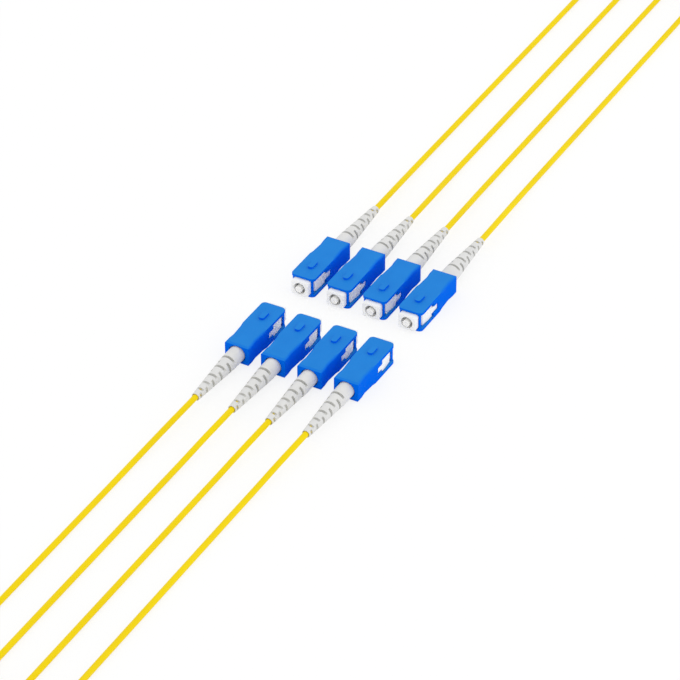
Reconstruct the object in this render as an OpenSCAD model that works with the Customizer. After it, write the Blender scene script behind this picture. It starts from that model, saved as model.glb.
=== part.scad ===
// Set of four simplex SC fibre optic patch cords, laid out in two facing groups of four
// connectors.  Each cord starts and ends in the same group, side by side, and its spare
// length is wound in a tied coil behind that group.
// Frame: +X runs along the connectors, +Y across them, +Z up from the surface they lie on.
// Sizes are in millimetres.  Places along a connector are measured back from the front
// edge of its grip housing.

/* [Layout] */
// Distance between neighbouring connectors
connector_pitch = 13.5; // [11:0.5:14]
// Free space between the housing fronts of the two groups
group_gap = 18.4; // [16:0.1:24]

/* [Grip housing] */
// Width of the grip housing
housing_w = 9.0; // [8.8:0.1:9.6]
// Height of the grip housing
housing_h = 7.4; // [7.2:0.1:8]
// Length of the grip housing
housing_l = 25.3; // [24.6:0.1:26]
// Thickness of the housing's solid rear end
rear_wall = 3.3; // [2:0.1:3.8]
// Radius of the upright corners at the front
front_corner_r = 1.6; // [1:0.1:2]
// Bevel along the long edges of the housing's front half
edge_bevel = 0.1; // [0.05:0.05:0.4]
// Place where the straight front half ends
shoulder_x = 13.4; // [13.4:0.1:14.5]
// Radius of the long edges behind the shoulder
grip_edge_r = 0.8; // [0.4:0.1:1]
// Length over which the long edges turn from sharp to round
shoulder_run = 1.6; // [0.8:0.1:2]
// Inset of each side just behind the shoulder
shoulder_inset = 0.02; // [0:0.02:0.4]
// Place of the narrowest part of the waist
waist_x = 20.2; // [19:0.1:21.2]
// Inset of each side at the narrowest part of the waist
waist_inset = 0.32; // [0.1:0.02:0.6]
// Length of the rear flare
flare_l = 2.5; // [1.5:0.1:3.4]
// Inset of each side at the rear flare
flare_inset = 0.04; // [0:0.02:0.4]
// Length of the bevels at the top and bottom of the rear end
rear_bevel_l = 0.8; // [0.4:0.1:1.2]
// Height of those bevels
rear_bevel_h = 0.35; // [0.2:0.05:0.5]

/* [Housing key and windows] */
// Length of the key on top
key_l = 4.3; // [3:0.1:5]
// Width of the key
key_w = 2.0; // [1.8:0.1:2.6]
// Height of the key above the housing
key_h = 0.8; // [0.3:0.1:1]
// Distance from the housing front to the key
key_x = 5.2; // [4:0.1:6]
// Radius of the key's upright corners
key_corner_r = 0.8; // [0.2:0.1:0.9]
// Distance from the housing front to each side window
bridge_l = 1.3; // [1:0.1:1.5]
// Setback of the bridge in front of each window, behind the housing's front edge
bridge_setback = 0.1; // [0.05:0.05:0.4]
// Thickness of the bridge
bridge_t = 0.35; // [0.3:0.05:0.6]
// Length of the wide part of the side window
window_l = 7.7; // [7.4:0.1:8.2]
// Height of the housing's side above and below the window
window_edge = 1.0; // [0.9:0.1:1.3]
// Length of the narrow slot behind the window
slot_l = 2.8; // [2.5:0.1:3.2]
// Height of the narrow slot
slot_h = 2.5; // [2.3:0.1:3]

/* [Plug frame] */
// Width of the plug frame
frame_w = 6.4; // [6.2:0.1:6.6]
// Height of the plug frame
frame_h = 5.5; // [5.3:0.1:5.6]
// Radius of the plug frame's long edges
frame_edge_r = 0.8; // [0.4:0.1:1]
// Length that the plug frame stands out of the housing
frame_proud = 1.9; // [1.5:0.1:2.4]
// Place where the plug frame narrows
frame_neck_x = 13.0; // [12.6:0.1:13.1]
// Width of the plug frame behind its neck
frame_neck_w = 6.0; // [5.6:0.1:6]
// Free space round the plug frame inside the housing
slide_clear = 0.15; // [0.1:0.01:0.2]
// Radius of the nose opening
nose_r = 2.1; // [2:0.05:2.2]
// Radius of the hole in the stop shoulder
shoulder_r = 1.95; // [1.85:0.05:2]
// Thickness of the stop shoulder
shoulder_l = 0.8; // [0.5:0.1:1.2]
// Bevel round the front of the plug frame
nose_bevel_w = 0.2; // [0.1:0.05:0.3]
// Height of the side catches behind their ramps
catch_h = 0.7; // [0.6:0.05:0.9]
// Height of the side catches at their front ends
catch_front_h = 0.4; // [0.3:0.05:0.5]
// Length of the ramp on each catch
catch_ramp_l = 3.6; // [3:0.1:4.4]
// Bevel at the rear of each catch
catch_bevel = 0.3; // [0.1:0.05:0.4]
// Free length between each catch and the rear of its window
catch_gap = 0.3; // [0.2:0.1:0.8]
// Height of the tab behind each catch
tab_h = 0.95; // [0.7:0.05:1.1]
// Free space above and below each catch and its tab
catch_clear = 0.15; // [0.1:0.05:0.3]

/* [Grip travel] */
// Distance that the housing slides back over the plug frame
grip_travel = 1.0; // [0.8:0.1:1.4]
// Distance that the ferrule is pushed back when mated
ferrule_travel = 1.0; // [0.5:0.1:1.2]
// Gap left at each stop
stop_gap = 0.1; // [0.05:0.01:0.15]

/* [Ferrule and spring] */
// Diameter of the ceramic ferrule
ferrule_d = 2.5; // [2.4:0.05:2.6]
// Length of the ceramic ferrule
ferrule_l = 10.5; // [10:0.1:11]
// Length that the ferrule stands out of the plug frame
ferrule_proud = 0.9; // [0.6:0.1:1.2]
// Length of ferrule held in its metal flange
ferrule_held = 3.3; // [2.5:0.1:3.5]
// Amount by which the held length is thinner than the rest
ferrule_step = 0.2; // [0.16:0.01:0.25]
// Bevel at the ferrule's tip
ferrule_bevel = 0.3; // [0.1:0.05:0.4]
// Radius of the flange's collar
collar_r = 2.17; // [2.1:0.01:2.17]
// Length of the flange's collar
collar_l = 2.3; // [1.8:0.1:2.6]
// Radius of the flange's stem
stem_r = 1.45; // [1.4:0.05:1.5]
// Length of the flange's stem behind the collar
stem_l = 5.1; // [4.5:0.1:5.1]
// Running clearance of the collar in the plug frame
collar_clear = 0.08; // [0.05:0.01:0.1]
// Width of the flange's four key slots
key_slot_w = 0.7; // [0.4:0.1:1]
// Depth of the flange's four key slots
key_slot_d = 0.3; // [0.1:0.05:0.4]
// Length of the spring space between collar and stop ring
spring_l = 6.3; // [6.3:0.1:7]
// Diameter of the spring's wire
wire_d = 0.4; // [0.3:0.05:0.45]
// Mean radius of the spring
spring_r = 1.85; // [1.83:0.01:1.9]
// Number of spring curls
spring_curls = 5; // [4:1:6]

/* [Stop ring and crimp] */
// Length of the stop ring's barrel inside the plug frame
barrel_l = 4.4; // [4:0.1:5]
// Radius of the stop ring's rim
rim_r = 2.6; // [2.4:0.05:2.6]
// Thickness of the stop ring's rim
rim_l = 1.5; // [1:0.1:2]
// Radius of the crimp spigot
spigot_r = 1.45; // [1.3:0.05:1.5]
// Length of the crimp spigot
spigot_l = 6.0; // [5:0.1:6.5]
// Radius of the bore through the stop ring
ring_bore_r = 0.95; // [0.8:0.05:1]
// Length of the stop ring's snap lugs
lug_l = 1.5; // [1:0.1:2]
// Height of the stop ring's snap lugs
lug_h = 1.5; // [1:0.1:1.8]
// Thickness of the aramid yarn layer under the crimp
yarn_t = 0.2; // [0.1:0.02:0.24]
// Wall of the crimp sleeve
crimp_t = 0.25; // [0.2:0.02:0.3]
// Length of the crimp sleeve's narrow end, on the cord
crimp_tail = 3.6; // [3:0.1:5]
// Diameter of the buffered fibre
fibre_d = 0.9; // [0.6:0.1:0.9]
// Length of buffered fibre inside the flange's stem
fibre_in_stem = 2.4; // [1.5:0.1:2.6]
// Free space round the buffered fibre in the stem
fibre_clear = 0.1; // [0.05:0.01:0.15]
// Gap between pieces of the connector that rest on each other
seat_gap = 0.02; // [0.01:0.005:0.04]

/* [Boot] */
// Radius of the boot where it leaves the housing
boot_r = 2.85; // [2.75:0.05:2.9]
// Radius of the boot's neck inside the housing
boot_neck_r = 2.55; // [2.5:0.05:2.6]
// Length of the boot
boot_l = 32.1; // [31.8:0.1:35]
// Length of the boot's plain part, from its front end
boot_plain_l = 11.0; // [10:0.1:11.2]
// Radius of the boot's thin end
boot_end_r = 1.4; // [1.4:0.05:1.6]
// Radius of the boot's mouth, where the cord leaves it
mouth_r = 1.2; // [1.15:0.05:1.25]
// Depth over which the mouth narrows to the cord
mouth_l = 0.6; // [0.3:0.1:0.7]
// Free space round the boot in the housing's rear opening
boot_clear = 0.3; // [0.3:0.01:0.35]
// Distance from the boot's front end to its first slot
first_slot = 11.6; // [11.4:0.1:12]
// Spacing of the first two slots
slot_step = 2.68; // [2.4:0.02:2.7]
// Amount by which each spacing is shorter than the last
step_fall = 0.136; // [0.1:0.002:0.14]
// Number of slot stations
slot_count = 10; // [6:1:10]
// Width of each boot slot
boot_slot_w = 1.0; // [0.6:0.05:1]
// Distance from the boot's axis to the floor of the first slot
slot_floor = 1.25; // [1.2:0.01:1.4]
// Amount by which each floor lies nearer the axis than the last
floor_fall = 0.012; // [0.004:0.001:0.015]
// Number of slots at the thin end that open onto the cord
open_slots = 2; // [0:1:3]
// Distance from the boot's axis to the floor of an open slot
open_floor = 0.98; // [0.9:0.01:1]

/* [Cord and coil] */
// Diameter of the cord
cord_d = 2.0; // [1.8:0.05:2]
// Free space round the cord in the boot
cord_clear = 0.05; // [0.03:0.01:0.1]
// Radius of a coil at the middle of its turns
coil_mid_r = 11.5; // [11:0.5:12]
// Distance between neighbouring turns and layers
turn_pitch = 2.5; // [2.45:0.05:2.6]
// Turns in each coil behind the right-hand group
turns_right = 7.5; // [6.5:1:8.5]
// Turns in each coil behind the left-hand group
turns_left = 8.5; // [7.5:1:9.5]
// Thickness of the coil ties
tie_t = 0.4; // [0.3:0.05:0.5]
// Width of the coil ties
tie_w = 3.0; // [2:0.5:4]

/* [Hidden] */

// Connectors in each group, and in the set
group_size = 4;
set_size = 8;
// Smoothness of round faces
round_fn = 48;
// Room for a cut to run past the face it opens
past = 1;
// Thickness of the sections that a blended stretch runs between
slice = 0.05;

// Places along a connector, from its tip to its cord.
axis_z = housing_h / 2;
frame_x = -frame_proud;
ferrule_x = frame_x - ferrule_proud;
flange_x = ferrule_x + ferrule_l - ferrule_held;
collar_back_x = flange_x + collar_l;
stem_end_x = collar_back_x + stem_l;
ring_x = collar_back_x + spring_l;
frame_back_x = ring_x + barrel_l;
rim_x = frame_back_x + seat_gap;
spigot_x = rim_x + rim_l;
spigot_end_x = spigot_x + spigot_l;
crimp_x = spigot_x + 4 * stop_gap;
jacket_x = spigot_end_x + 6 * stop_gap;
crimp_end_x = jacket_x + crimp_tail;
boot_x = crimp_x + 4 * stop_gap;
boot_end_x = boot_x + boot_l;
window_end_x = bridge_l + window_l;
slot_end_x = window_end_x + slot_l;
housing_back_x = housing_l - rear_wall;

// Radii and half widths that follow from neighbouring pieces.
cavity_w = frame_w + 2 * slide_clear;
cavity_h = frame_h + 2 * slide_clear;
neck_cavity_w = frame_neck_w + 2 * slide_clear;
cavity_edge_r = frame_edge_r + slide_clear;
chamber_r = collar_r + collar_clear;
yarn_r = spigot_r + seat_gap;
crimp_bore_r = yarn_r + yarn_t + seat_gap;
cord_r = cord_d / 2;
cord_bore_r = cord_r + cord_clear;
crimp_tail_r = cord_bore_r + crimp_t;
slot_z = axis_z - slot_h / 2;
window_h = housing_h - 2 * window_edge;
fibre_start_x = stem_end_x - fibre_in_stem;
fibre_bore_r = fibre_d / 2 + fibre_clear;
ferrule_held_r = ferrule_d / 2 - ferrule_step;
tab_back_x = slot_end_x - stop_gap;
catch_x = bridge_l + grip_travel + stop_gap;
catch_end_x = window_end_x - catch_gap;

// Connectors 1 to 4 stand on the right and face left, 5 to 8 stand on the left and face
// right.  Numbers rise towards -Y in both groups.
function on_right(i) = i <= group_size;
function lane_y(i) = ((group_size + 1) / 2 - (on_right(i) ? i : i - group_size)) * connector_pitch;
function side_of(i) = on_right(i) ? 1 : -1;

module at_connector(i) {
    translate([side_of(i) * group_gap / 2, lane_y(i), 0])
        rotate([0, 0, on_right(i) ? 0 : 180])
        children();
}

// A round bar or bore along the connector's axis.
module along(x, length, r) {
    translate([x, 0, axis_z]) rotate([0, 90, 0]) cylinder(r = r, h = length, $fn = round_fn);
}

// A turned shape whose outline holds [distance along the axis, radius] points.
module turned(outline) {
    translate([0, 0, axis_z]) rotate([0, 90, 0]) rotate([0, 0, 90])
        rotate_extrude($fn = round_fn) polygon([for (p = outline) [p[1], p[0]]]);
}

// A bar with rounded long edges between two places along the connector.
module rounded_bar(from, to, w, h, r) {
    y = w / 2 - r;
    z = h / 2 - r;
    translate([from, 0, axis_z]) rotate([90, 0, 90]) linear_extrude(to - from) polygon(concat(
        arc(y, z, r, 0, 90, 4), arc(-y, z, r, 90, 180, 4),
        arc(-y, -z, r, 180, 270, 4), arc(y, -z, r, 270, 360, 4)
    ));
}

// ---- Grip housing: the moulded outer sleeve that is pushed and pulled ----

function arc(cx, cy, r, from, to, steps) =
    [for (s = [0 : steps]) let (a = from + (to - from) * s / steps) [cx + r * cos(a), cy + r * sin(a)]];

// End outline of the front half, with the long edges bevelled.
module end_outline() {
    w = housing_w / 2;
    b = edge_bevel;
    polygon([
        [b - w, 0], [w - b, 0], [w, b], [w, housing_h - b], [w - b, housing_h], [b - w, housing_h],
        [-w, housing_h - b], [-w, b]
    ]);
}

// Front half, with its upright corners rounded.
module front_half() {
    r = front_corner_r;
    y = housing_w / 2 - r;
    intersection() {
        linear_extrude(housing_h) polygon(concat(
            arc(r, -y, r, 270, 180, 6), arc(r, y, r, 180, 90, 6),
            [[shoulder_x, housing_w / 2], [shoulder_x, -housing_w / 2]]
        ));
        rotate([90, 0, 90]) linear_extrude(shoulder_x) end_outline();
    }
}

// Rear half: the long edges turn round, the sides draw in to a waist and flare out again.
module rear_half() {
    flare_x = housing_l - flare_l;
    hull() {
        translate([shoulder_x - slice, 0, 0]) rotate([90, 0, 90]) linear_extrude(slice) end_outline();
        grip_section(shoulder_x + shoulder_run - slice, slice, shoulder_inset);
    }
    hull() {
        grip_section(shoulder_x + shoulder_run - slice, slice, shoulder_inset);
        grip_section(waist_x, slice, waist_inset);
    }
    hull() {
        grip_section(waist_x, slice, waist_inset);
        grip_section(flare_x, slice, flare_inset);
    }
    grip_section(flare_x, flare_l, flare_inset);
}

module grip_section(from, length, inset) {
    rounded_bar(from, from + length, housing_w - 2 * inset, housing_h, grip_edge_r);
}

// Side outline, with the rear end bevelled at the top and bottom.
module profile_outline() {
    polygon([
        [0, 0], [housing_l - rear_bevel_l, 0], [housing_l, rear_bevel_h],
        [housing_l, housing_h - rear_bevel_h], [housing_l - rear_bevel_l, housing_h], [0, housing_h]
    ]);
}

// Windows in the housing's sides, and the thin bridge that closes each window at the front.
module side_windows() {
    bridge_y = cavity_w / 2 + bridge_t;
    for (side = [-1, 1]) scale_y(side) {
        translate([bridge_l, cavity_w / 2 - past, window_edge])
            cube([window_l, housing_w, window_h]);
        translate([window_end_x - past, neck_cavity_w / 2 - past, slot_z])
            cube([slot_l + past, housing_w, slot_h]);
        translate([-past, cavity_w / 2 - past, window_edge])
            cube([past + bridge_setback, housing_w, window_h]);
        translate([-past, bridge_y, window_edge])
            cube([2 * past + bridge_l, housing_w, window_h]);
    }
}

module scale_y(side) {
    if (side > 0) children();
    else mirror([0, 1, 0]) children();
}

module housing(i) {
    color("royalblue") at_connector(i) {
        difference() {
            intersection() {
                union() {
                    front_half();
                    rear_half();
                }
                rotate([90, 0, 0]) linear_extrude(2 * housing_w, center = true) profile_outline();
            }
            rounded_bar(-past, shoulder_x, cavity_w, cavity_h, cavity_edge_r);
            rounded_bar(shoulder_x - past, housing_back_x, neck_cavity_w, cavity_h, cavity_edge_r);
            along(housing_back_x - past, rear_wall + 2 * past, boot_r + boot_clear);
            side_windows();
        }
        key();
    }
}

// Key on top, which sets the way up in an adapter.
module key() {
    r = key_corner_r;
    front = key_x + r;
    back = key_x + key_l - r;
    y = key_w / 2 - r;
    translate([0, 0, housing_h - edge_bevel]) linear_extrude(key_h + edge_bevel) polygon(concat(
        arc(front, y, r, 180, 90, 5), arc(back, y, r, 90, 0, 5),
        arc(back, -y, r, 0, -90, 5), arc(front, -y, r, -90, -180, 5)
    ));
}

// ---- Plug frame: the inner body that snaps into an adapter ----

module plug_frame(i) {
    color("white") at_connector(i) difference() {
        union() {
            rounded_bar(frame_x, frame_neck_x, frame_w, frame_h, frame_edge_r);
            rounded_bar(frame_neck_x - past, frame_back_x, frame_neck_w, frame_h, frame_edge_r);
            for (side = [-1, 1]) scale_y(side) side_catch();
        }
        along(frame_x - past, flange_x - shoulder_l - frame_x + past, nose_r);
        along(frame_x, flange_x - frame_x + past, shoulder_r);
        along(flange_x - seat_gap, frame_back_x - flange_x + seat_gap + past, chamber_r);
        lug_space(lug_l + 2 * seat_gap, lug_h + 2 * seat_gap, frame_neck_w + 2 * past);
        nose_bevel();
    }
}

// Raised block on the frame's side that fills the housing's window and rises in a ramp, and
// the tab behind it that runs in the housing's narrow slot.
module side_catch() {
    block_h = window_h - 2 * catch_clear;
    narrow_h = slot_h - 2 * catch_clear;
    outer_y = frame_w / 2 + catch_h;
    tab_y = frame_w / 2 + tab_h;
    translate([0, 0, axis_z - block_h / 2]) linear_extrude(block_h) polygon([
        [catch_x, frame_w / 2 - past], [catch_x, frame_w / 2 + catch_front_h],
        [catch_x + catch_ramp_l, outer_y], [catch_end_x - catch_bevel, outer_y],
        [catch_end_x, outer_y - catch_bevel], [catch_end_x, frame_w / 2 - past]
    ]);
    translate([catch_end_x - past, frame_neck_w / 2 - past, axis_z - narrow_h / 2])
        cube([past + tab_back_x - catch_end_x, tab_y - frame_neck_w / 2 + past, narrow_h]);
}

// Bevels on the four edges of the frame's nose.
module nose_bevel() {
    b = nose_bevel_w;
    for (side = [-1, 1]) {
        translate([frame_x, side * frame_w / 2, axis_z - frame_h / 2 - past]) rotate([0, 0, 45])
            translate([-b / sqrt(2), -b / sqrt(2), 0]) cube([b * sqrt(2), b * sqrt(2), frame_h + 2 * past]);
        translate([frame_x, -frame_w / 2 - past, axis_z + side * frame_h / 2]) rotate([0, 45, 0])
            translate([-b / sqrt(2), 0, -b / sqrt(2)]) cube([b * sqrt(2), frame_w + 2 * past, b * sqrt(2)]);
    }
}

// Block through the frame's sides for the stop ring's snap lugs, or the lugs themselves.
module lug_space(length, height, width) {
    translate([ring_x + barrel_l / 2 - length / 2, -width / 2, axis_z - height / 2])
        cube([length, width, height]);
}

// ---- Ferrule: ceramic pin in a keyed metal flange, the part that floats on the spring ----

module ferrule(i) {
    color("ivory") at_connector(i) turned([
        [ferrule_x, 0], [ferrule_x, ferrule_d / 2 - ferrule_bevel],
        [ferrule_x + ferrule_bevel, ferrule_d / 2], [flange_x - stop_gap, ferrule_d / 2],
        [flange_x - stop_gap, ferrule_held_r], [ferrule_x + ferrule_l, ferrule_held_r],
        [ferrule_x + ferrule_l, 0]
    ]);
    color("silver") at_connector(i) difference() {
        union() {
            along(flange_x, collar_l, collar_r);
            along(flange_x, collar_l + stem_l, stem_r);
        }
        along(flange_x - past, ferrule_held + past + seat_gap, ferrule_held_r + seat_gap / 2);
        along(flange_x, collar_l + stem_l + past, fibre_bore_r);
        for (turn = [0, 90]) translate([flange_x, 0, axis_z]) rotate([turn, 0, 0])
            for (side = [-1, 1]) scale_y(side)
            translate([-past, collar_r - key_slot_d, -key_slot_w / 2])
                cube([collar_l + 2 * past, past, key_slot_w]);
    }
}

// ---- Spring: the compression coil that keeps the ferrule forward ----

function spring_path() = let (steps = spring_curls * 8, run = spring_l - wire_d - 4 * seat_gap)
    let (start = collar_back_x + wire_d / 2 + 2 * seat_gap)
    [for (s = [0 : steps]) let (a = 45 * s)
        [start + run * s / steps, spring_r * cos(a), axis_z + spring_r * sin(a)]];

module spring(i) {
    color("gray") at_connector(i) tube(spring_path(), wire_d / 2, 6, [1, 0, 0]);
}

// ---- Stop ring: closes the frame's rear, seats the spring and carries the crimp ----

module stop_rings() {
    for (i = [1 : set_size]) color("darkgray") at_connector(i) difference() {
        union() {
            along(ring_x, barrel_l, chamber_r - seat_gap);
            lug_space(lug_l, lug_h, frame_neck_w - 4 * seat_gap);
            along(rim_x, rim_l, rim_r);
            along(ring_x, spigot_end_x - ring_x, spigot_r);
        }
        along(ring_x - past, spigot_end_x - ring_x + 2 * past, ring_bore_r);
    }
}

// Aramid yarns of the cord, folded over the spigot and held by the crimp sleeve.
module aramid_yarns() {
    for (i = [1 : set_size]) color("gold") at_connector(i) difference() {
        along(crimp_x + stop_gap, spigot_end_x - crimp_x - stop_gap, yarn_r + yarn_t);
        along(crimp_x, spigot_end_x - crimp_x + past, yarn_r);
    }
}

// Stepped metal sleeve: the wide end is crimped on the spigot, the narrow end on the cord.
module crimp_sleeves() {
    for (i = [1 : set_size]) color("lightgray") at_connector(i) turned([
        [crimp_x, crimp_bore_r], [crimp_x, crimp_bore_r + crimp_t],
        [spigot_end_x + stop_gap, crimp_bore_r + crimp_t], [jacket_x, crimp_tail_r],
        [crimp_end_x, crimp_tail_r], [crimp_end_x, cord_bore_r],
        [jacket_x, cord_bore_r], [spigot_end_x + stop_gap, crimp_bore_r]
    ]);
}

// Buffered fibre inside each connector, from the flange's stem to the end of the jacket.
module buffered_fibres() {
    for (i = [1 : set_size]) color("lightyellow") at_connector(i)
        along(fibre_start_x, jacket_x - seat_gap - fibre_start_x, fibre_d / 2);
}

// ---- Boot: soft tapered strain relief, slotted so that it bends evenly ----

function boot_radius(x) = let (plain_x = boot_x + boot_plain_l)
    x < plain_x ? boot_r : boot_r + (boot_end_r - boot_r) * (x - plain_x) / (boot_end_x - plain_x);
function slot_x(n) = boot_x + first_slot + slot_step * n - step_fall * n * (n - 1) / 2;
function slot_floor_r(n) = n < slot_count - open_slots ? slot_floor - floor_fall * n : open_floor;
neck_end_x = housing_back_x + grip_travel + 2 * stop_gap;

// A pair of slots, cut from above and below at one station and from the sides at the next.
module boot_slots(n) {
    reach = boot_r + past;
    translate([slot_x(n), 0, axis_z]) rotate([n % 2 == 0 ? 90 : 0, 0, 0])
        for (side = [-1, 1]) scale_y(side)
        translate([-boot_slot_w / 2, slot_floor_r(n), -reach])
        cube([boot_slot_w, reach - slot_floor_r(n), 2 * reach]);
}

module boot(i) {
    color("gainsboro") at_connector(i) difference() {
        turned([
            [boot_x, 0], [boot_x, boot_neck_r], [neck_end_x, boot_neck_r],
            [neck_end_x + boot_r - boot_neck_r, boot_r], [boot_x + boot_plain_l, boot_r],
            [boot_end_x, boot_end_r], [boot_end_x, 0]
        ]);
        along(boot_x - past, spigot_end_x + stop_gap - boot_x + past, crimp_bore_r + crimp_t + stop_gap);
        turned([
            [spigot_end_x, 0], [spigot_end_x, crimp_bore_r + crimp_t + stop_gap],
            [spigot_end_x + 2 * stop_gap, crimp_bore_r + crimp_t + stop_gap],
            [jacket_x + stop_gap, crimp_tail_r + stop_gap], [crimp_end_x + stop_gap, crimp_tail_r + stop_gap],
            [crimp_end_x + stop_gap, 0]
        ]);
        along(crimp_end_x, boot_end_x - crimp_end_x + past, cord_bore_r);
        turned([
            [boot_end_x - mouth_l, 0], [boot_end_x - mouth_l, cord_bore_r], [boot_end_x, mouth_r],
            [boot_end_x + past, mouth_r], [boot_end_x + past, 0]
        ]);
        for (n = [0 : slot_count - 1]) boot_slots(n);
    }
}

// ---- Cord: swept tubes for the free leads and the coils ----

function unit(v) = v / norm(v);
function heading(path, s) = let (last = len(path) - 1)
    unit(unit(path[min(s + 1, last)] - path[min(s, last - 1)]) + unit(path[max(s, 1)] - path[max(s - 1, 0)]));

// A closed tube of triangles along a path.
module tube(path, r, sides, up) {
    last = len(path) - 1;
    rings = [for (s = [0 : last]) let (t = heading(path, s), u = unit(cross(up, t)), w = cross(t, u))
        for (k = [0 : sides - 1]) let (a = 360 * (k + 0.5) / sides) path[s] + r * (u * cos(a) + w * sin(a))];
    walls = [for (s = [0 : last - 1], k = [0 : sides - 1])
        let (a = s * sides + k, b = s * sides + (k + 1) % sides)
        for (f = [[a, a + sides, b], [b, a + sides, b + sides]]) f];
    front = [for (k = [1 : sides - 2]) [0, k, k + 1]];
    rear = [for (k = [1 : sides - 2]) [last * sides, last * sides + k + 1, last * sides + k]];
    polyhedron(points = rings, faces = concat(walls, front, rear));
}

// Coils: four layers that spiral in and out, and climb a layer where the spiral turns back.
coil_z = cord_r + tie_t + 0.05;
layers = 4;
rings_per_turn = 18;
right_coil_x = 268;
left_coil_x = -228;
near_coil_y = 18;
far_coil_y = -14;

function coil_side(c) = c <= 2 ? 1 : -1;
function coil_centre(c) = [c <= 2 ? right_coil_x : left_coil_x, c % 2 == 1 ? near_coil_y : far_coil_y];
function coil_turns(c) = c <= 2 ? turns_right : turns_left;
function coil_span(c) = turn_pitch * coil_turns(c) / layers;
function coil_outer_r(c) = coil_mid_r + coil_span(c) / 2;
function ease(s) = let (f = min(1, max(0, s))) f * f * (3 - 2 * f);
function coil_radius(c, t) = let (share = t * layers / coil_turns(c))
    let (n = min(layers - 1, floor(share)), f = share - n)
    coil_outer_r(c) - coil_span(c) * (n % 2 == 0 ? f : 1 - f);
function climb(c, t, n) = ease((t - n * coil_turns(c) / layers) * 2 + 0.5);
function coil_height(c, t) = coil_z + turn_pitch * (climb(c, t, 1) + climb(c, t, 2) + climb(c, t, 3));
function coil_point(c, t) = let (a = 90 - coil_side(c) * 360 * t, r = coil_radius(c, t))
    let (centre = coil_centre(c))
    [centre[0] + r * cos(a), centre[1] + r * sin(a), coil_height(c, t)];
function coil_turn_path(c) = let (steps = coil_turns(c) * rings_per_turn)
    [for (s = [0 : steps]) coil_point(c, s / rings_per_turn)];
function coil_start(c) = coil_point(c, 0) - [coil_side(c) * cord_d, 0, 0];
function coil_finish(c) = coil_point(c, coil_turns(c)) - [coil_side(c) * cord_d, 0, 0];
function coil_path(c) = concat([coil_start(c)], coil_turn_path(c), [coil_finish(c)]);

// Least gap between turns, from points half a turn or more apart along the tube.
function least_gap(path) = let (last = len(path) - 1, apart = rings_per_turn / 2)
    min([for (a = [0 : last - apart], b = [a + apart : last]) norm(path[a] - path[b])]) - cord_d;
for (c = [1, 3]) echo(str("least gap between the turns of coil ", c, ": "), least_gap(coil_turn_path(c)));

module cord_coil(c) {
    color("gold") tube(coil_path(c), cord_r, 6, [0, 0, 1]);
}

// Routes of the leads from boot to coil, as chosen points.  Each cord leaves its boot level,
// settles on the surface, runs straight, and swings out to the tangent of its coil.
lead_routes = [
    [[76, 20.8, 3], [92, 21.9, 1.5], [108, 22.25, 1.02], [236, 22.25, 1.02], [250, 26.6, 1.1]],
    [[76, 7.3, 3], [92, 8.4, 1.5], [108, 8.75, 1.02], [238, 8.7, 1.1], [252, 5.9, 6]],
    [[76, -6.2, 3], [92, -5.1, 1.5], [108, -4.75, 1.02], [240, -4.75, 1.02], [253, -2.3, 1.1]],
    [[76, -19.7, 3], [92, -18.6, 1.5], [108, -18.25, 1.02], [236, -18.3, 1.1], [250, -24.2, 6]],
    [[-76, 20.8, 3], [-92, 21.8, 1.5], [-108, 22.05, 1.02], [-196, 22.05, 1.02], [-210, 26.7, 1.1]],
    [[-76, 7.3, 3], [-92, 8.2, 1.5], [-108, 8.55, 1.02], [-198, 8.5, 1.1], [-212, 5.7, 6]],
    [[-76, -6.2, 3], [-92, -5.3, 1.5], [-108, -4.95, 1.02], [-200, -4.95, 1.02], [-213, -2.3, 1.1]],
    [[-76, -19.7, 3], [-92, -18.8, 1.5], [-108, -18.45, 1.02], [-196, -18.5, 1.1], [-210, -24.5, 6]]
];
function lead_start(i) = [side_of(i) * (group_gap / 2 + jacket_x), lane_y(i), axis_z];
function lead_exit(i) = [side_of(i) * (group_gap / 2 + boot_end_x + cord_d), lane_y(i), axis_z];
function lead_coil(i) = ceil(i / 2);
function lead_end(i) = i % 2 == 1 ? coil_start(lead_coil(i)) : coil_finish(lead_coil(i));
function lead_path(i) = let (end = lead_end(i), before = end - [2 * side_of(i) * cord_d, 0, 0])
    concat([lead_start(i), lead_exit(i)], lead_routes[i - 1], [before, end]);

module cord_lead(i) {
    color("gold") tube(lead_path(i), cord_r, 8, [0, 0, 1]);
}

// Flat ties round the coils, on the side away from the leads.
module coil_ties() {
    room = 0.3;
    for (c = [1 : 4]) {
        inner = coil_outer_r(c) - coil_span(c) - cord_r - room;
        width = coil_span(c) + cord_d + 2 * room;
        height = coil_z + 3 * turn_pitch + cord_r + room - tie_t;
        color("white") translate([coil_centre(c)[0], coil_centre(c)[1] - tie_w / 2, 0])
            scale_x(coil_side(c)) translate([inner, 0, 0]) difference() {
                translate([-tie_t, 0, 0]) cube([width + 2 * tie_t, tie_w, height + 2 * tie_t]);
                translate([0, -past, tie_t]) cube([width, tie_w + 2 * past, height]);
            }
    }
}

module scale_x(side) {
    if (side > 0) children();
    else mirror([1, 0, 0]) children();
}

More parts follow.
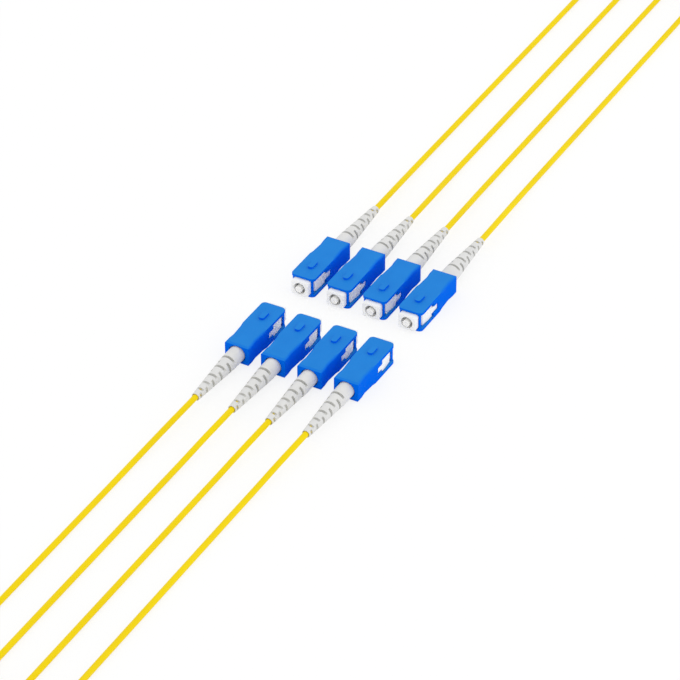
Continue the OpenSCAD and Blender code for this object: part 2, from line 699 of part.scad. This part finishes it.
housing(1);  // housing_1
housing(2);  // housing_2
housing(3);  // housing_3
housing(4);  // housing_4
housing(5);  // housing_5
housing(6);  // housing_6
housing(7);  // housing_7
housing(8);  // housing_8
plug_frame(1);  // plug_frame_1
plug_frame(2);  // plug_frame_2
plug_frame(3);  // plug_frame_3
plug_frame(4);  // plug_frame_4
plug_frame(5);  // plug_frame_5
plug_frame(6);  // plug_frame_6
plug_frame(7);  // plug_frame_7
plug_frame(8);  // plug_frame_8
ferrule(1);  // ferrule_1
ferrule(2);  // ferrule_2
ferrule(3);  // ferrule_3
ferrule(4);  // ferrule_4
ferrule(5);  // ferrule_5
ferrule(6);  // ferrule_6
ferrule(7);  // ferrule_7
ferrule(8);  // ferrule_8
spring(1);  // spring_1
spring(2);  // spring_2
spring(3);  // spring_3
spring(4);  // spring_4
spring(5);  // spring_5
spring(6);  // spring_6
spring(7);  // spring_7
spring(8);  // spring_8
boot(1);  // boot_1
boot(2);  // boot_2
boot(3);  // boot_3
boot(4);  // boot_4
boot(5);  // boot_5
boot(6);  // boot_6
boot(7);  // boot_7
boot(8);  // boot_8
stop_rings();
crimp_sleeves();
aramid_yarns();
buffered_fibres();
cord_lead(1);  // cord_lead_1
cord_lead(2);  // cord_lead_2
cord_lead(3);  // cord_lead_3
cord_lead(4);  // cord_lead_4
cord_lead(5);  // cord_lead_5
cord_lead(6);  // cord_lead_6
cord_lead(7);  // cord_lead_7
cord_lead(8);  // cord_lead_8
cord_coil(1);  // cord_coil_1
cord_coil(2);  // cord_coil_2
cord_coil(3);  // cord_coil_3
cord_coil(4);  // cord_coil_4
coil_ties();
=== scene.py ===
import math

import bmesh
import bpy
import numpy as np
from mathutils import Matrix, Vector


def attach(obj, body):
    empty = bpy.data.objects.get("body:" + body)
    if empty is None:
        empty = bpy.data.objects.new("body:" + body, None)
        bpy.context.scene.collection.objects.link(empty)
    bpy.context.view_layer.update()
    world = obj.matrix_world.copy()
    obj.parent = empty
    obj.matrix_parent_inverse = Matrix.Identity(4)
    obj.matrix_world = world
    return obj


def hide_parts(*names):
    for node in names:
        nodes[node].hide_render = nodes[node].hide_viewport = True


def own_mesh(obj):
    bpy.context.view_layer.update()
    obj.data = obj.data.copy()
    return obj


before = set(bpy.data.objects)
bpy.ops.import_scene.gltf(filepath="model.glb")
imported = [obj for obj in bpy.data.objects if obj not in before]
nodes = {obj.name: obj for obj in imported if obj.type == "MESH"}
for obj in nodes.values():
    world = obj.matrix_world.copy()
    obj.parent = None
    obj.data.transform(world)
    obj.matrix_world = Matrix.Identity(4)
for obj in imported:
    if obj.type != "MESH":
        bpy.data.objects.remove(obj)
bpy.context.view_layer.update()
MM = 0.001


# ---- Camera ----
# A long lens, high up and to the side, that looks down along the two rows of connectors. Its
# distance and aim are in millimetres, and its focal length is in pixels of a frame_px wide frame.
camera_azimuth = math.radians(28.75)
camera_elevation = math.radians(36.2)
camera_roll = math.radians(-0.13)
camera_distance = 1191.9
camera_aim = np.array([-7.26, -3.15, 0.0])
frame_px = 680
focal_px = 3622
sensor_mm = 36

forward = np.array([
    math.cos(camera_azimuth) * math.cos(camera_elevation),
    math.sin(camera_azimuth) * math.cos(camera_elevation),
    -math.sin(camera_elevation),
])
level_right = np.array([math.sin(camera_azimuth), -math.cos(camera_azimuth), 0.0])
level_up = np.cross(level_right, forward)
camera_right = level_right * math.cos(camera_roll) + level_up * math.sin(camera_roll)
camera_up = level_up * math.cos(camera_roll) - level_right * math.sin(camera_roll)
camera_place = (camera_aim - forward * camera_distance) * MM

lens = bpy.data.cameras.new("studio_camera")
lens.sensor_width = sensor_mm
lens.lens = focal_px / frame_px * sensor_mm
lens.clip_start = 0.05
lens.clip_end = 20
camera = bpy.data.objects.new("studio_camera", lens)
bpy.context.scene.collection.objects.link(camera)
turn = np.column_stack([camera_right, camera_up, -forward])
camera.matrix_world = Matrix.Translation(camera_place) @ Matrix(turn.tolist()).to_4x4()
bpy.context.scene.camera = camera


# ---- Cords ----
# Each cord is a 2 mm simplex cable: a flexible yellow jacket, extruded over aramid yarns and a
# buffered fibre. It leaves its boot level, settles on the surface and runs straight, and its
# spare length is wound in a coil of four layers behind the connectors.
def linear(hex_colour):
    """Linear RGBA of an sRGB hex colour: each channel through the sRGB curve."""
    channels = [int(hex_colour[i:i + 2], 16) / 255 for i in (1, 3, 5)]
    return [c / 12.92 if c <= 0.04045 else ((c + 0.055) / 1.055) ** 2.4 for c in channels] + [1.0]


def add_node(tree, kind, settings=None, links=None):
    """Adds one shader node, sets its attributes and input values, and links its inputs."""
    made = tree.nodes.new("ShaderNode" + kind)
    for name, value in (settings or {}).items():
        if name in made.inputs:
            made.inputs[name].default_value = value
        else:
            setattr(made, name, value)
    for name, source in (links or {}).items():
        tree.links.new(source, made.inputs[name])
    return made


def new_material(name):
    """A material of that name with an empty node tree, and that tree."""
    material = bpy.data.materials.new(name)
    material.use_nodes = True
    material.node_tree.nodes.clear()
    return material, material.node_tree


# What all the polymers share: the IOR, how the clouds change colour and gloss, how much of the
# grain shows, and the share of its gloss that an upright wall keeps.
polymer_ior = 1.5
cloud_from, cloud_to = 0.3, 0.7
roughness_drift = 0.08
grain_strength = 0.25
wall_gloss_share = 1 / 8


def moulded(name, colour, darker, roughness, grain_mm, grain_depth, specular=0.5, cloud_mm=6.0,
            wall=None):
    """A moulded or extruded polymer: its colour and its gloss drift slightly in broad clouds, and
    its skin has a fine even grain. With a wall colour, it turns to that where the piece's attribute
    says that it stands upright, a painted shade that stands for how the light falls on upright
    faces, and it loses most of its gloss there."""
    material, tree = new_material(name)
    place = add_node(tree, "TexCoord").outputs["Object"]
    cloud = add_node(tree, "TexNoise", {"Scale": 1 / (cloud_mm * MM), "Detail": 3.0},
                     {"Vector": place}).outputs["Fac"]
    tint = add_node(tree, "ValToRGB", links={"Fac": cloud})
    tint.color_ramp.elements[0].position = cloud_from
    tint.color_ramp.elements[0].color = linear(darker)
    tint.color_ramp.elements[1].position = cloud_to
    tint.color_ramp.elements[1].color = linear(colour)
    sheen = add_node(tree, "MapRange", {"To Min": roughness - roughness_drift,
                                        "To Max": roughness + roughness_drift}, {"Value": cloud})
    grain = add_node(tree, "TexNoise", {"Scale": 1 / (grain_mm * MM), "Detail": 2.0},
                     {"Vector": place})
    skin = add_node(tree, "Bump", {"Strength": grain_strength, "Distance": grain_depth * MM},
                    {"Height": grain.outputs["Fac"]})
    links = {"Base Color": tint.outputs["Color"], "Roughness": sheen.outputs["Result"],
             "Normal": skin.outputs["Normal"]}
    if wall:
        # A colour Mix node takes its factor, A and B at inputs 0, 6 and 7; output 2 is its colour.
        # Painted light and shade: the colour goes from the paler blue of level faces to the wall
        # colour as a face stands upright.
        upright = add_node(tree, "Attribute", {"attribute_name": "upright"}).outputs["Fac"]
        painted_wall_shading = add_node(tree, "Mix", {"data_type": "RGBA"},
                          {0: upright, 6: links["Base Color"]})
        painted_wall_shading.inputs[7].default_value = linear(wall)
        duller = add_node(tree, "MapRange", {"To Min": specular,
                                             "To Max": specular * wall_gloss_share},
                          {"Value": upright})
        links["Base Color"] = painted_wall_shading.outputs[2]
        links["Specular IOR Level"] = duller.outputs["Result"]
    surface = add_node(tree, "BsdfPrincipled",
                       {"IOR": polymer_ior, "Specular IOR Level": specular}, links)
    add_node(tree, "OutputMaterial", links={"Surface": surface.outputs["BSDF"]})
    return material


# The two rows, in millimetres. The fronts of the grips stand front_x from the middle, and the end
# of a jacket and of a boot, jacket_x and boot_end_x, count back from there.
row = 4
cords = row
connectors = range(1, 2 * row + 1)
pitch = 13.5
front_x = 9.2
axis_z = 3.7
jacket_x = 25.52
boot_end_x = 51.82

# The cords and their coils.
cord_d = 2.0
cord_sides = 14
turn_pitch = 2.5
coil_mid_r = 11.5
coil_z = 1.45
layers = 4
turns_right = 7.5
turns_left = 8.5
right_coil_x = 268
left_coil_x = -228
near_coil_y = 18
far_coil_y = -14
points_a_turn = 36
points_a_bend = 15
points_a_straight = 4

# Route of each lead from its boot to its coil, in millimetres: x is the distance from the middle
# of the layout to either side. The lead lies on the surface from the third point to the fourth.
lead_routes = [
    [[76, 20.8, 3], [92, 21.9, 1.5], [108, 22.25, 1.02], [236, 22.25, 1.02], [250, 26.6, 1.1]],
    [[76, 7.3, 3], [92, 8.4, 1.5], [108, 8.75, 1.02], [238, 8.7, 1.1], [252, 5.9, 6]],
    [[76, -6.2, 3], [92, -5.1, 1.5], [108, -4.75, 1.02], [240, -4.75, 1.02], [253, -2.3, 1.1]],
    [[76, -19.7, 3], [92, -18.6, 1.5], [108, -18.25, 1.02], [236, -18.3, 1.1], [250, -24.2, 6]],
    [[76, 20.8, 3], [92, 21.8, 1.5], [108, 22.05, 1.02], [196, 22.05, 1.02], [210, 26.7, 1.1]],
    [[76, 7.3, 3], [92, 8.2, 1.5], [108, 8.55, 1.02], [198, 8.5, 1.1], [212, 5.7, 6]],
    [[76, -6.2, 3], [92, -5.3, 1.5], [108, -4.95, 1.02], [200, -4.95, 1.02], [213, -2.3, 1.1]],
    [[76, -19.7, 3], [92, -18.8, 1.5], [108, -18.45, 1.02], [196, -18.5, 1.1], [210, -24.5, 6]],
]


def side_of(i):
    """Which row connector i stands in: +1 on the right, -1 on the left."""
    return 1 if i <= row else -1


def lane_y(i):
    """Place of connector i across its row: the lanes lie evenly about the middle."""
    return ((row + 1) / 2 - (i if i <= row else i - row)) * pitch


def coil_line(c):
    """Centreline of coil c. The radius goes steadily in and out from layer to layer while the
    angle turns at a steady rate, and the height climbs one layer, along a smooth step, in the
    half turn around each place where the radius turns back."""
    side = side_of(2 * c)
    turns = turns_right if side > 0 else turns_left
    span = turn_pitch * turns / layers
    t = np.linspace(0, turns, int(turns * points_a_turn) + 1)
    share = t * layers / turns
    layer = np.minimum(layers - 1, np.floor(share))
    inward = share - layer
    radius = coil_mid_r + span / 2 - span * np.where(layer % 2 == 0, inward, 1 - inward)
    climb = np.zeros_like(t)
    for n in range(1, layers):
        rise = np.clip((t - n * turns / layers) * 2 + 0.5, 0, 1)
        climb += rise * rise * (3 - 2 * rise)
    angle = np.pi / 2 - side * 2 * np.pi * t
    centre_x = right_coil_x if side > 0 else left_coil_x
    centre_y = near_coil_y if c % 2 == 1 else far_coil_y
    return np.column_stack([
        centre_x + radius * np.cos(angle), centre_y + radius * np.sin(angle),
        coil_z + turn_pitch * climb])


def steady_curve(knots, x):
    """Values at x of a curve through the knots that never overshoots them: cubic pieces whose
    slope at a knot is the harmonic mean of its neighbours' slopes, or level at a turn or an end."""
    kx, kv = knots[:, 0], knots[:, 1:]
    run = np.diff(kx)[:, None]
    rate = np.diff(kv, axis=0) / run
    slope = np.zeros_like(kv)
    product = rate[:-1] * rate[1:]
    total = np.where(product > 0, rate[:-1] + rate[1:], 1)
    slope[1:-1] = np.where(product > 0, 2 * product / total, 0)
    piece = np.clip(np.searchsorted(kx, x) - 1, 0, len(kx) - 2)
    h = run[piece]
    f = ((x - kx[piece]) / h[:, 0])[:, None]
    return (kv[piece] * (1 + 2 * f) * (1 - f) ** 2 + kv[piece + 1] * f * f * (3 - 2 * f)
            + h * slope[piece] * f * (1 - f) ** 2 - h * slope[piece + 1] * f * f * (1 - f))


def lead_line(i, coil_end):
    """Centreline of lead i, from inside its boot to where its coil begins: a steady curve through
    its route, worked out as if it ran to the right, with most points where it falls and rises."""
    mirror = np.array([side_of(i), 1, 1])
    end = coil_end * mirror
    knots = np.array([
        [front_x + jacket_x, lane_y(i), axis_z],
        [front_x + boot_end_x + cord_d, lane_y(i), axis_z],
        *lead_routes[i - 1], end - [2 * cord_d, 0, 0], end])
    start, falling, level, rising, last = knots[[0, 1, 4, 5, -1], 0]
    x = np.concatenate([
        [start], np.linspace(falling, level, points_a_bend),
        np.linspace(level, rising, points_a_straight)[1:],
        np.linspace(rising, last, points_a_bend)[1:]])
    return np.column_stack([x, steady_curve(knots, x)]) * mirror


def cord_curve(name, line, material):
    """A round cord along a line of points, as one open spline."""
    curve = bpy.data.curves.new(name, "CURVE")
    curve.dimensions = "3D"
    curve.bevel_depth = cord_d / 2 * MM
    curve.bevel_resolution = (cord_sides - 4) // 2
    curve.use_fill_caps = True
    spline = curve.splines.new("POLY")
    spline.points.add(len(line) - 1)
    flat = np.column_stack([line * MM, np.ones(len(line))])
    spline.points.foreach_set("co", flat.ravel())
    curve.materials.append(material)
    piece = bpy.data.objects.new(name, curve)
    bpy.context.scene.collection.objects.link(piece)
    return piece


# Soft PVC, extruded: an even strong yellow that drifts only over centimetres, with a satin skin.
yellow_jacket = moulded("extruded_pvc_yellow", "#f5da00", "#efd100", roughness=0.45, grain_mm=0.5,
                        grain_depth=0.02, specular=0.12, cloud_mm=30)
for c in range(1, cords + 1):
    first, second = 2 * c - 1, 2 * c
    side = side_of(first)
    coil = coil_line(c)
    # One straight step, a cord's diameter long, joins each lead to its end of the coil.
    tail = np.array([side * cord_d, 0, 0])
    line = np.concatenate([
        lead_line(first, coil[0] - tail), coil, lead_line(second, coil[-1] - tail)[::-1]])
    cord = cord_curve(f"patch_cord_{c}", line, yellow_jacket)
    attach(cord, "cords")
    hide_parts(f"cord_lead_{first}", f"cord_lead_{second}", f"cord_coil_{c}")


# ---- Grip housings ----
# The push-pull grip of each connector: one moulding of satin blue PBT with soft edges, a key on
# top and a window in each side, which slides a little along the plug frame inside it.
merge_mm = 0.002
flat_within = math.radians(0.5)
sharp_from = math.radians(35)
broad_mm2 = 5


def softened(name, source, material, body, edge_mm, steps):
    """A CAD node's solid with its edges rounded: its doubles merged, its flat faces made whole,
    every sharp edge given a narrow round bevel, and the flat faces beside it still shaded flat."""
    mesh = nodes[source].data.copy()
    mesh.name = name
    shape = bmesh.new()
    shape.from_mesh(mesh)
    bmesh.ops.remove_doubles(shape, verts=shape.verts, dist=merge_mm * MM)
    bmesh.ops.dissolve_limit(shape, angle_limit=flat_within, verts=shape.verts, edges=shape.edges)
    shape.to_mesh(mesh)
    shape.free()
    mesh.materials.clear()
    mesh.materials.append(material)
    piece = bpy.data.objects.new(name, mesh)
    bpy.context.scene.collection.objects.link(piece)
    bevel = piece.modifiers.new("soft_edges", "BEVEL")
    bevel.width = edge_mm * MM
    bevel.segments = steps
    bevel.limit_method = "ANGLE"
    bevel.angle_limit = sharp_from
    bevel.miter_outer = "MITER_ARC"
    mesh.polygons.foreach_set("use_smooth", np.ones(len(mesh.polygons), bool))
    mesh.set_sharp_from_angle(angle=sharp_from)
    piece.modifiers.new("flat_faces_stay_flat", "WEIGHTED_NORMAL").keep_sharp = True
    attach(piece, body)
    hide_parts(source)
    return piece


def mark_upright(piece):
    """Stores how upright the surface stands at each face corner: one less the slope of its normal
    above or below level, as a share of a right angle. A broad face has one value all over. The
    grip's material paints light and shade by it: a paler blue where a face lies level and a deeper
    blue where it stands upright."""
    mesh = piece.data
    corner, normal = np.empty(len(mesh.loops) * 3), np.empty(len(mesh.polygons) * 3)
    area, corners = np.empty(len(mesh.polygons)), np.empty(len(mesh.polygons), np.int32)
    mesh.corner_normals.foreach_get("vector", corner)
    mesh.polygons.foreach_get("normal", normal)
    mesh.polygons.foreach_get("area", area)
    mesh.polygons.foreach_get("loop_total", corners)
    broad = np.repeat(area > broad_mm2 * MM ** 2, corners)
    rise = np.where(broad, np.repeat(normal[2::3], corners), corner[2::3])
    share = 1 - np.arcsin(np.clip(np.abs(rise), 0, 1)) * 2 / np.pi
    upright = mesh.attributes.new("upright", "FLOAT", "CORNER")
    upright.data.foreach_set("value", share.astype(np.float32))


# Moulded PBT with a satin skin. Its level faces are painted a paler blue, and its upright walls a
# deeper, more saturated blue with less gloss: painted light and shade by how each face stands to
# the light.
blue_pbt = moulded("moulded_pbt_blue", "#2485db", "#2080d7", roughness=0.5, grain_mm=0.18,
                   grain_depth=0.02, specular=0.04, wall="#0068ea")
for i in connectors:
    mark_upright(softened(f"grip_{i}", f"housing_{i}", blue_pbt, f"grip_{i}",
                          edge_mm=0.06, steps=2))


# ---- Plug frames ----
# The inner body that snaps into an adapter: white moulded PBT, square outside, bored for the
# floating ferrule.
# The same polymer without pigment of its own: a clean white with a satin skin.
white_pbt = moulded("moulded_pbt_white", "#fbfbfa", "#f6f6f5", roughness=0.4, grain_mm=0.18,
                    grain_depth=0.015, specular=0.3)
for i in connectors:
    softened(f"white_frame_{i}", f"plug_frame_{i}", white_pbt, "cords",
             edge_mm=0.08, steps=2)


# ---- Ferrules ----
# A ground and polished zirconia pin that holds the fibre on its axis. It is pressed into a metal
# flange, which the plug frame hides and which takes the pin's finish.
haze_mm = 0.6
haze_drift = 0.2


def polished(name, colour, roughness, ior=None):
    """A drawn, plated or ground and polished surface, a ceramic where it has an IOR and a metal
    where not: its gloss drifts a little, from scratches too fine to see one by one."""
    material, tree = new_material(name)
    place = add_node(tree, "TexCoord").outputs["Object"]
    haze = add_node(tree, "TexNoise", {"Scale": 1 / (haze_mm * MM), "Detail": 3.0},
                    {"Vector": place})
    gloss = add_node(tree, "MapRange", {"To Min": roughness * (1 - haze_drift),
                                        "To Max": roughness * (1 + haze_drift)},
                     {"Value": haze.outputs["Fac"]})
    nature = {"Metallic": 0.0, "IOR": ior} if ior else {"Metallic": 1.0}
    surface = add_node(tree, "BsdfPrincipled", {"Base Color": linear(colour), **nature},
                       {"Roughness": gloss.outputs["Result"]})
    add_node(tree, "OutputMaterial", links={"Surface": surface.outputs["BSDF"]})
    return material


# Zirconia is a dense white ceramic, glossier than the plastic round it.
zirconia = polished("polished_zirconia", "#f6f5f2", roughness=0.18, ior=1.9)
for i in connectors:
    nodes[f"ferrule_{i}"].data.materials[0] = zirconia


# ---- Boots ----
# The strain relief: a tapered sleeve of soft pale grey elastomer, moulded with slots that
# alternate between top and bottom and the two sides so that it bends evenly.
slots_from_x = 30.7
slots_to_x = boot_end_x - 0.1
slot_floor_r = 1.33
steep = 0.9


def paint_slot_shade(boot, material):
    """Gives a second material, a darker grey that is painted shade, to the walls and floors of a
    boot's slots: the faces that stand across its axis anywhere from the first slot to the mouth,
    and those that lie as near the axis as a slot's floor."""
    mesh = boot.data
    mesh.materials.append(material)
    count = len(mesh.polygons)
    centre, normal = np.empty(count * 3), np.empty(count * 3)
    mesh.polygons.foreach_get("center", centre)
    mesh.polygons.foreach_get("normal", normal)
    x, y, z = centre.reshape(-1, 3).T / MM
    along = np.abs(x) - front_x
    lane = np.round(y / pitch - 0.5) * pitch + pitch / 2
    across = np.abs(normal[::3]) > steep
    inside = np.hypot(y - lane, z - axis_z) < slot_floor_r
    slot_shade_faces = (along > slots_from_x) & (along < slots_to_x) & (across | inside)
    mesh.polygons.foreach_set("material_index", slot_shade_faces.astype(np.int32))


# Soft thermoplastic elastomer: pale and nearly matt. In its slots it is painted a little greyer, as
# painted shade in the recesses, and it is duller there.
grey_elastomer = moulded("moulded_tpe_grey", "#e2e2e1", "#dbdbda", roughness=0.55, grain_mm=0.25,
                         grain_depth=0.02, specular=0.3)
slot_shade_elastomer = moulded("moulded_tpe_painted_slot_shade", "#d6d6d3", "#cececb", roughness=0.6,
                         grain_mm=0.25, grain_depth=0.02, specular=0.1)
for i in connectors:
    relief = softened(f"strain_relief_{i}", f"boot_{i}", grey_elastomer, "cords",
                      edge_mm=0.06, steps=1)
    paint_slot_shade(relief, slot_shade_elastomer)


# Drawn wire and tube are a neutral grey, and nickel plate is warmer and smoother.
spring_wire = polished("drawn_spring_steel", "#a9a9ab", roughness=0.3)
nickel = polished("nickel_plated_brass", "#c4c2bb", roughness=0.25)
aluminium = polished("drawn_aluminium", "#cfcfd1", roughness=0.3)
# Aramid yarn is golden and matt, and the fibre's buffer is a cream polymer with a smooth skin.
aramid = moulded("aramid_yarn", "#e4c64a", "#d9b936", roughness=0.7, grain_mm=0.1,
                 grain_depth=0.03)
buffer = moulded("fibre_buffer", "#efeccf", "#e8e4c2", roughness=0.45, grain_mm=0.2,
                 grain_depth=0.01)
for i in connectors:
    spring = nodes[f"spring_{i}"]
    spring.data.materials[0] = spring_wire
    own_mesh(spring)
nodes["stop_rings"].data.materials[0] = nickel
nodes["crimp_sleeves"].data.materials[0] = aluminium
nodes["aramid_yarns"].data.materials[0] = aramid
nodes["buffered_fibres"].data.materials[0] = buffer


# ---- Coil ties ----
# A narrow band round each coil that keeps its turns together, moulded from nylon, which is an
# off-white with a satin skin.
nylon = moulded("moulded_nylon_white", "#ecece9", "#e4e4e0", roughness=0.5, grain_mm=0.3,
                grain_depth=0.02)
nodes["coil_ties"].data.materials[0] = nylon


# ---- Surface and light ----
# A plain white table under soft light: one broad lamp above, a little to the near side, and an
# even white room.
table_m = 8.0
plain_share = 0.8
lamp_place = Vector((0.3, -1.3, 0.9))
lamp_m = 1.4
lamp_watts = 2
room_strength = 0.98


def table_material():
    """A matt white surface. Seen by the camera or through something clear, it shows most of its
    brightness as its own plain white, so that the background is even, and keeps a share of real
    shading, so that the object's shadow shows."""
    material, tree = new_material("table_white")
    paint = add_node(tree, "BsdfDiffuse", {"Color": linear("#ffffff")})
    plain = add_node(tree, "Emission", {"Color": linear("#ffffff"), "Strength": 1.0})
    path = add_node(tree, "LightPath")
    clear = add_node(tree, "Math", {"operation": "MAXIMUM"},
                     {0: path.outputs["Is Camera Ray"], 1: path.outputs["Is Transmission Ray"]})
    share = add_node(tree, "Math", {"operation": "MULTIPLY"}, {0: clear.outputs["Value"]})
    share.inputs[1].default_value = plain_share
    mixed = add_node(tree, "MixShader", links={
        0: share.outputs["Value"], 1: paint.outputs["BSDF"], 2: plain.outputs["Emission"]})
    add_node(tree, "OutputMaterial", links={"Surface": mixed.outputs["Shader"]})
    return material


corner = table_m / 2
table_mesh = bpy.data.meshes.new("table")
table_mesh.from_pydata(
    [(-corner, -corner, 0), (corner, -corner, 0), (corner, corner, 0), (-corner, corner, 0)],
    [], [(0, 1, 2, 3)])
table_mesh.materials.append(table_material())
table = bpy.data.objects.new("table", table_mesh)
bpy.context.scene.collection.objects.link(table)

softbox = bpy.data.lights.new("near_softbox", "AREA")
softbox.shape = "SQUARE"
softbox.size = lamp_m
softbox.energy = lamp_watts
lamp = bpy.data.objects.new("near_softbox", softbox)
lamp.location = lamp_place
lamp.rotation_euler = (-lamp_place).to_track_quat("-Z", "Y").to_euler()
bpy.context.scene.collection.objects.link(lamp)

world = bpy.data.worlds.new("white_room")
world.use_nodes = True
world.node_tree.nodes.clear()
room = add_node(world.node_tree, "Background",
                {"Color": linear("#ffffff"), "Strength": room_strength})
add_node(world.node_tree, "OutputWorld", links={"Surface": room.outputs["Background"]})
bpy.context.scene.world = world
bpy.context.scene.view_settings.view_transform = "Standard"
